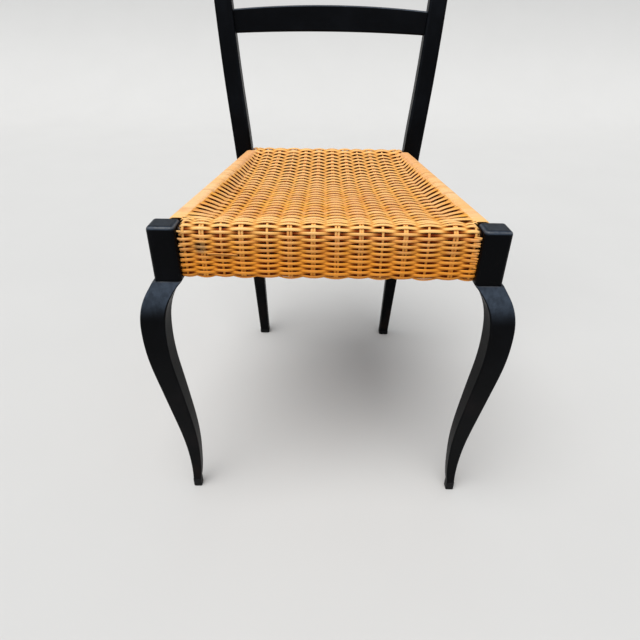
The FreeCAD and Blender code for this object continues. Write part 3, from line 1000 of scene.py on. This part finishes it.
    def lay_corner_wraps(self, bundle: StrandBundle) -> None:
        """Lays one short strand round each side rail, close behind the leg block.

        Args:
            bundle: Where the strands go.
        """
        target = (self.half_between_blocks - 12.0, self.side_rail_heights[1] - 4.0)
        right = self.rail_wrap(self.side_rail_ends[0] + 0.1, target) - 0.4 * UP
        for path in (right, right * MIRRORED):
            bundle.lay(path, BACK, self.top_strand, self.corner_wrap_lift)

    def rows_over_top(self) -> np.ndarray:
        """Distances from the front of the weavers that cross the dished top."""
        start, end = self.side_rail_ends
        return np.linspace(start - 1.6, end - 1.2, int((end - start) / self.pair_pitch) + 1)

    def lay_painted_shade_sheet(self) -> StrandBundle:
        """Lays a close sheet of dark strands under the weave, painted shade that darkens its gaps from below.

        Returns:
            Its strands.
        """
        bundle = StrandBundle("seat_painted_shade_sheet", sides=6)
        y = np.linspace(self.front_rail[1] + 2.0, self.rear_rail[0] - 1.5, self.shade_sheet_points)
        inner = self.side_rail_outer - self.side_rail_slope * y - self.side_rail_width - 3.0
        edge_z = self.side_rail_heights[1] - 2.0
        shares = np.linspace(-1.0, 1.0, self.shade_sheet_count)
        level = np.array([self.level_across(b * shares, a, (b, edge_z)) for a, b in zip(y, inner)])
        slope = np.gradient(level, axis=1) / np.gradient(np.outer(inner, shares), axis=1)
        for place, share in enumerate(shares):
            path = np.stack([inner * share, y, level[:, place] - self.shade_sheet_depth - place % 2 * 0.3], 1)
            bundle.lay(path, ACROSS + slope[:, place, None] * UP, self.shade_sheet_strand, self.shade_sheet_lift)
        return bundle

    def weave_rear(self) -> StrandBundle:
        """Weaves the strands that roll over the rear rail and down behind it.

        Returns:
            Its strands.
        """
        bundle = StrandBundle("rear_edge_weavers")
        length = float(travelled(self.rear_route)[-1])
        passed = len(self.rows_over_top())
        for index, place in enumerate(np.arange(0.6, length - 1.0, self.rear_pitch)):
            self.rail_weaver(bundle, float(place), ((index + passed) // 2) % 2 == 0, True)
        return bundle

    # Stakes

    def stake_line(self, column: int, aside: float) -> np.ndarray:
        """Middle line of one stake from the back of the front rail to the front of the rear rail.

        Args:
            column: Number of its column.
            aside: How far it lies beside the middle of the column.

        Returns:
            Its points.
        """
        y_join = float(self.front_route[-1, 0])
        y_rear = float(self.rear_route[0, 0])
        run = np.arange(y_join + 2.0, y_rear - 1.0, 4.0)
        y = np.concatenate([self.front_route[:, 0], run, self.rear_route[:, 0]])
        narrowed = 1.0 - self.rear_narrowing * np.clip(y / self.dish_places[-1], 0.0, 1.0)
        x = self.column_x(y)[:, column] + aside * narrowed
        z_run = self.dish(self.column_x(run)[:, column], run)
        z = np.concatenate([self.front_route[:, 1], z_run, self.rear_route[:, 1]])
        x = x + drifting(np.arange(len(x)) * 4.0, 0.35, self.rng)
        return np.stack([x, y, z], 1)

    def set_stakes(self) -> StrandBundle:
        """Sets the stakes of every column and the border stakes beside the blocks and posts.

        Returns:
            Their strands.
        """
        bundle = StrandBundle("seat_stakes")
        for column, count in enumerate(self.column_stakes):
            for index in range(count):
                aside = (index - (count - 1) / 2) * (self.stake.width + 0.1)
                bundle.lay(self.stake_line(column, aside), ACROSS, self.stake, self.stake_lift)
        for route, half in ((self.front_route, self.half_between_blocks),
                            (self.rear_route, self.half_between_posts)):
            for side in (-1.0, 1.0):
                x = np.full(len(route), side * (half - self.border))
                bundle.lay(np.column_stack([x, route]), ACROSS, self.stake, 0.0)
        return bundle

    def build(self, finish: bpy.types.Material, stake_finish: bpy.types.Material, shift_y: float) -> None:
        """Weaves the whole seat and puts it in place of the plain woven solids.

        Args:
            finish: Material of the weavers.
            stake_finish: Material of the stakes.
            shift_y: What is added to Y, in metres.
        """
        apron = self.weave_apron().make(shift_y, finish)
        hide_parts("woven_front_apron")
        top = self.weave_top().make(shift_y, finish)
        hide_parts("woven_seat_field", "right_rail_wrap", "left_rail_wrap")
        rear = self.weave_rear().make(shift_y, finish)
        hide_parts("rear_rail_wrap")
        stakes = self.set_stakes().make(shift_y, stake_finish)
        # A sheet of dark strands under the weave, painted shade for its gaps.
        under = self.lay_painted_shade_sheet().make(shift_y, finish)
        for piece in (apron, top, rear, stakes, under):
            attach(piece, "root")
            LOG.info("%s: %d faces", piece.name, len(piece.data.polygons))


# Pieces that keep their shape


@dataclass
class CarriedPieces:
    """Pieces whose shape comes from the frame as it is and which only get a finish."""

    upright: tuple[str, ...] = ("right_front_leg", "left_front_leg", "right_rear_post", "left_rear_post")
    across: tuple[str, ...] = (*(f"back_slat_{number}" for number in range(1, 6)), "crest_slat")
    end_rails: tuple[str, ...] = ("front_seat_rail", "rear_seat_rail")
    side_rails: tuple[str, ...] = ("right_seat_rail", "left_seat_rail")
    rail_brown: Colour = (0.034, 0.0130, 0.0040)
    glides: tuple[str, ...] = ("right_front_glide", "left_front_glide", "right_rear_glide", "left_rear_glide")
    tacks: tuple[str, ...] = ("cane_tacks",)

    def dress(self, nodes: dict) -> None:
        """Gives every piece its finish.

        Args:
            nodes: The frame's objects by name.
        """
        tones = dict.fromkeys(("black", "dusty", "painted_sky_reflection", "rubbed_and_highlight"), self.rail_brown)
        brown = {"name": "brown_rail", "dullness": 0.75, **tones}
        for names, material in ((self.upright, BlackLacquer(Grain.UPRIGHT).make()),
                                (self.across, BlackLacquer(Grain.ACROSS).make()),
                                (self.end_rails, BlackLacquer(Grain.ACROSS, **brown).make()),
                                (self.side_rails, BlackLacquer(Grain.FRONT_TO_BACK, **brown).make()),
                                (self.glides, FootCapPlastic().make()),
                                (self.tacks, TackSteel().make())):
            for name in names:
                for slot in nodes[name].material_slots:
                    slot.material = material
                LOG.info("%s: %s", name, material.name)


# Studio


@dataclass
class Studio:
    """Pale sweep, soft light and the camera at the photograph's viewing angle."""

    floor_half: float = 6.0
    sweep_start: float = 3.0
    sweep_radius: float = 1.6
    sweep_height: float = 6.0
    camera_place: Triple = (-8.4, -536.3, 646.2)
    yaw: float = 0.13
    pitch: float = 30.97
    roll: float = 0.76
    focal_share: float = 482.3 / 640.0
    film: float = 36.0
    lamp_from: Triple = (-0.22, -0.34, 1.0)
    lamp_spread: float = 48.0
    lamp_strength: float = 2.55
    lamp_tint: Colour = (1.0, 0.985, 0.965)
    room_strength: float = 0.48
    room_tint: Colour = (0.94, 0.97, 1.0)

    def lay_floor(self) -> None:
        """Lays the floor and bends it up into the backdrop."""
        bend = np.linspace(0.0, math.pi / 2, 13)
        y = np.concatenate([[-self.floor_half], self.sweep_start + self.sweep_radius * np.sin(bend),
                            [self.sweep_start + self.sweep_radius]])
        z = np.concatenate([[0.0], self.sweep_radius * (1.0 - np.cos(bend)), [self.sweep_height]])
        points = [(x, float(b), float(c)) for b, c in zip(y, z) for x in (-self.floor_half, self.floor_half)]
        faces = [(2 * i, 2 * i + 1, 2 * i + 3, 2 * i + 2) for i in range(len(y) - 1)]
        mesh = bpy.data.meshes.new("floor_sweep")
        mesh.from_pydata(points, [], faces)
        mesh.polygons.foreach_set("use_smooth", np.ones(len(faces), bool))
        mesh.materials.append(PaleFloor().make())
        floor = linked("floor_sweep", mesh)

    def light(self) -> None:
        """Hangs one very wide, soft lamp high over the front of the chair and lights the room evenly."""
        lamp = bpy.data.lights.new("soft_sky_lamp", "SUN")
        lamp.angle = math.radians(self.lamp_spread)
        lamp.energy = self.lamp_strength
        lamp.color = self.lamp_tint
        holder = linked("soft_sky_lamp", lamp)
        holder.rotation_euler = (-Vector(self.lamp_from)).to_track_quat("-Z", "Y").to_euler()
        world = bpy.data.worlds.new("soft_room")
        bpy.context.scene.world = world
        world.use_nodes = True
        backdrop = world.node_tree.nodes["Background"]
        backdrop.inputs["Color"].default_value = (*self.room_tint, 1.0)
        backdrop.inputs["Strength"].default_value = self.room_strength

    def set_camera(self, front_y: float) -> None:
        """Sets the camera where the photograph was taken from.

        Args:
            front_y: Y of the front faces of the leg blocks, in metres.
        """
        yaw, pitch, roll = (math.radians(angle) for angle in (self.yaw, self.pitch, self.roll))
        ahead = Vector((-math.sin(yaw) * math.cos(pitch), math.cos(yaw) * math.cos(pitch), -math.sin(pitch)))
        level = Vector((math.cos(yaw), math.sin(yaw), 0.0))
        right = level * math.cos(roll) + level.cross(ahead) * math.sin(roll)
        up = right.cross(ahead)
        camera = bpy.data.cameras.new("photo_camera")
        camera.sensor_width = self.film
        camera.lens = self.focal_share * self.film
        camera.clip_start = 0.02
        holder = linked("photo_camera", camera)
        place = Vector(self.camera_place) * MM + Vector((0.0, front_y, 0.0))
        turn = Matrix((right, up, -ahead)).transposed().to_4x4()
        holder.matrix_world = Matrix.Translation(place) @ turn
        bpy.context.scene.camera = holder


def main() -> None:
    """Builds the chair's looks in order and reports each piece."""
    logging.basicConfig(level=logging.INFO, format="%(name)s: %(message)s")
    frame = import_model()
    rail_low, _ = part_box("front_seat_rail")
    seat = CaneSeat()
    front_y = rail_low.y - seat.front_rail[0] * MM
    studio = Studio()
    studio.set_camera(front_y)
    studio.lay_floor()
    studio.light()
    CarriedPieces().dress(frame["nodes"])
    stake_cane = SplitCane("stake_cane", pale=(0.96, 0.60, 0.24), honey=(0.94, 0.53, 0.15),
                           amber=(0.84, 0.35, 0.04))
    seat.build(SplitCane().make(front_y), stake_cane.make(front_y), front_y)
    bpy.context.scene.view_settings.view_transform = "Standard"


if __name__ == "__main__":
    main()
